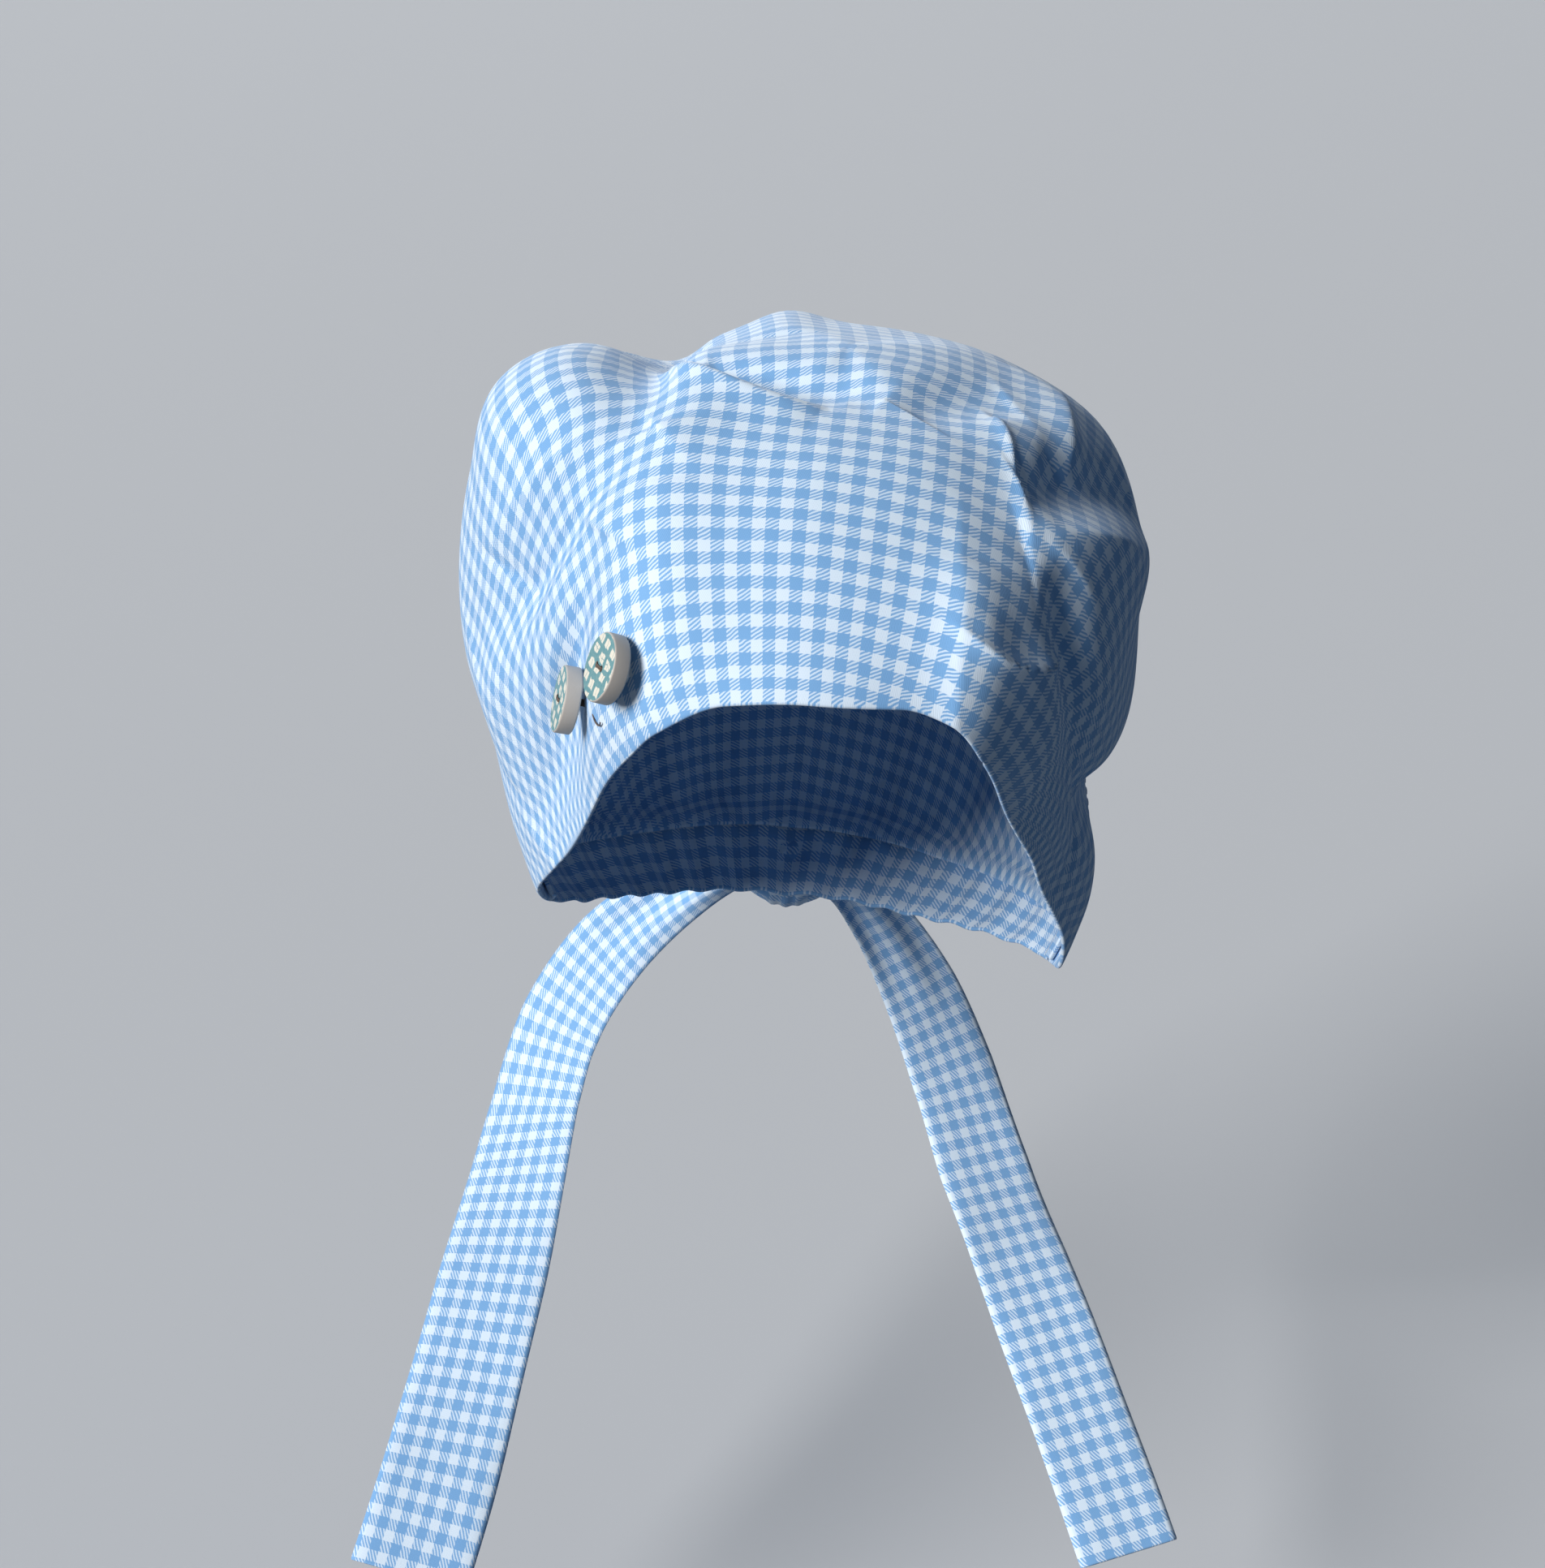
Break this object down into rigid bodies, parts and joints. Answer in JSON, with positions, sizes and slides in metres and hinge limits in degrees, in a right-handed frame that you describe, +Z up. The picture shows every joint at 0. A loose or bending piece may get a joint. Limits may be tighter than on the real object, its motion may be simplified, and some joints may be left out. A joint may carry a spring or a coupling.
{
  "type": "scrub cap",
  "caption": "Soft gingham scrub cap as worn: puffed crown over forehead and ears, gathered pouch, casing round the nape, two flat wooden buttons on one side and loose ties.",
  "frame": {"origin": "inside of the crown where the top of the head bears, on the middle plane of the head", "axes": "+Z up along the upright head, -Y forward over the forehead, +X to the right of a viewer who faces the front"},
  "size_m": [0.2287, 0.2046, 0.3442],
  "materials": {
    "cotton_gingham": "matte woven twill in a small blue and white check",
    "printed_wood": "satin, printed with a teal plaid on the face"
  },
  "bodies": {
    "root": {"front_panel": "cotton_gingham", "crown_pouch": "cotton_gingham", "nape_band": "cotton_gingham", "nape_knot": "cotton_gingham", "tie_left": "cotton_gingham", "tie_right": "cotton_gingham", "button_upper": "printed_wood", "button_lower": "printed_wood"}
  },
  "joints": []
}
